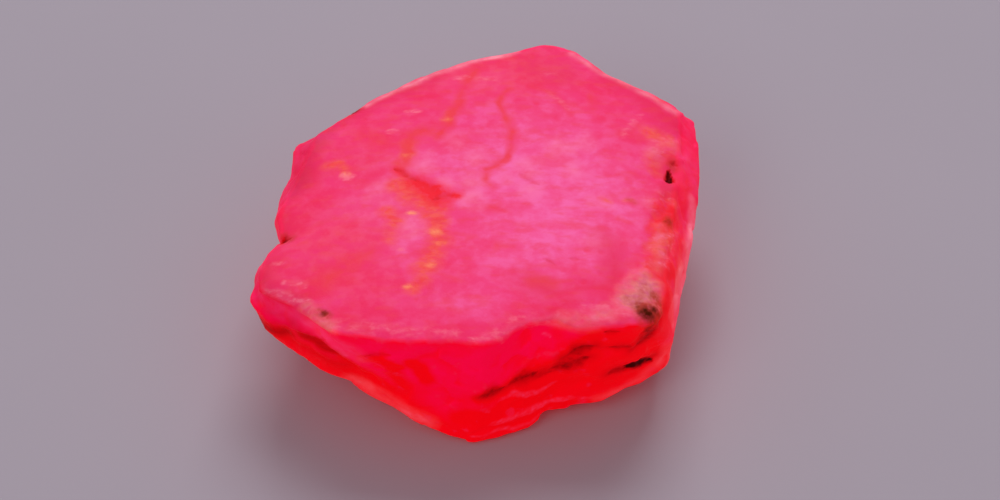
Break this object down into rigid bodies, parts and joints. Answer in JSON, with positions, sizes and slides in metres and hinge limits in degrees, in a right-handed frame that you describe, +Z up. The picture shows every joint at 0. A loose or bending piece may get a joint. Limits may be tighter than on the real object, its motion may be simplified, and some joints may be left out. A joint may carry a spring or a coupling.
{
  "type": "rough ruby",
  "caption": "Rough ruby crystal, a thick broken hexagonal plate with frosted skin and stepped sides, that rests on a flat parting face.",
  "frame": {"origin": "middle of the stone's outline seen from above, on the flat face that it rests on", "axes": "+Z up out of the broad top face, +X along the stone's longest side to side extent, -Y towards the near corner where the side is tallest"},
  "size_m": [0.0178, 0.0174, 0.0063],
  "materials": {
    "ruby": "frosted translucent pink red, glowing, with orange veins and a pale crust patch"
  },
  "bodies": {
    "root": {"ruby_crystal": "ruby"}
  },
  "joints": []
}
